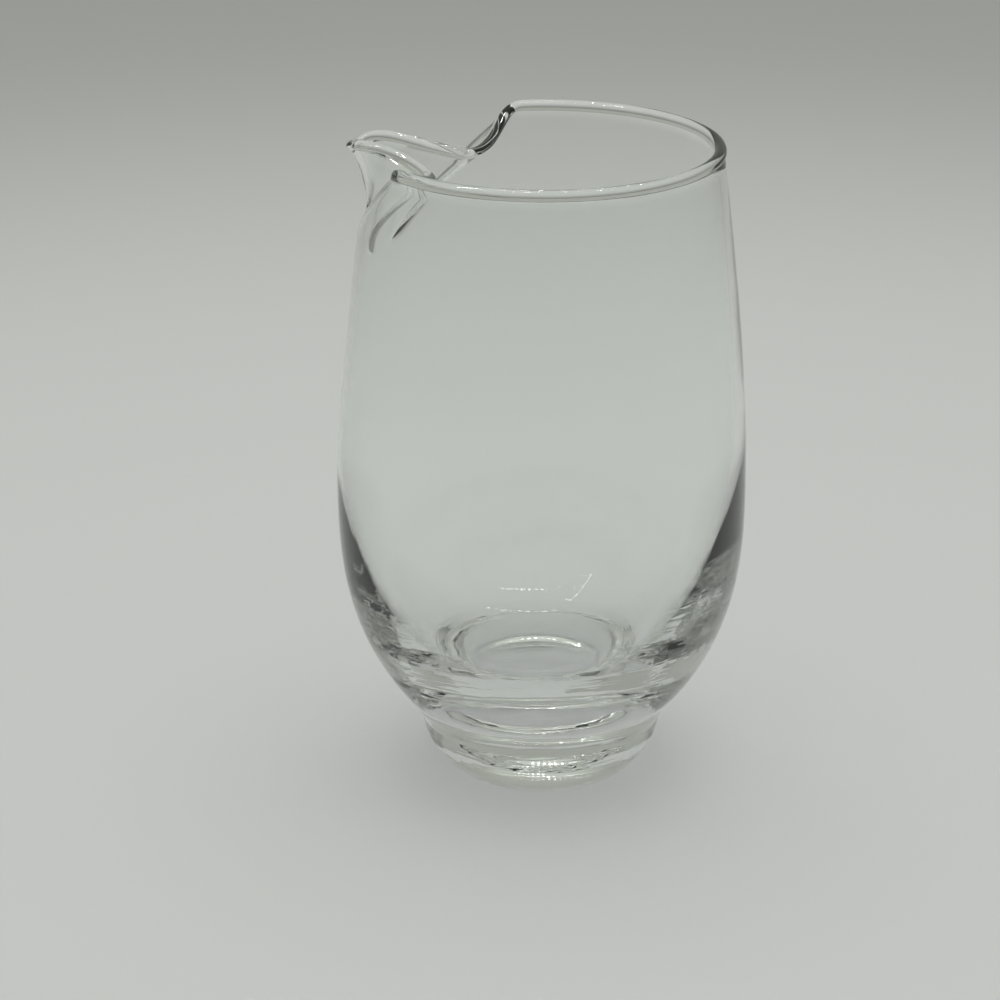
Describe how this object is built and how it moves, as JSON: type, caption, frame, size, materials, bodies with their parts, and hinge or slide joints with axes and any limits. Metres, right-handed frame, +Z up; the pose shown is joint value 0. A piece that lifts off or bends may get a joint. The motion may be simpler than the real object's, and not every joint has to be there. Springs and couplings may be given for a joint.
{
  "type": "cocktail pitcher",
  "caption": "Small clear-glass cocktail pitcher: barrel-shaped bowl with a fire-polished rim and a pinched pouring spout on a thick banded foot, for stirring and pouring mixed drinks.",
  "frame": {"origin": "centre of the ring it stands on, at table level, on the bowl's axis", "axes": "+Z up along the bowl's axis, spout along -X"},
  "size_m": [0.0893, 0.089, 0.1409],
  "materials": {
    "clear_glass": "blown, fire-polished"
  },
  "bodies": {
    "root": {"bowl": "clear_glass", "foot": "clear_glass"}
  },
  "joints": []
}
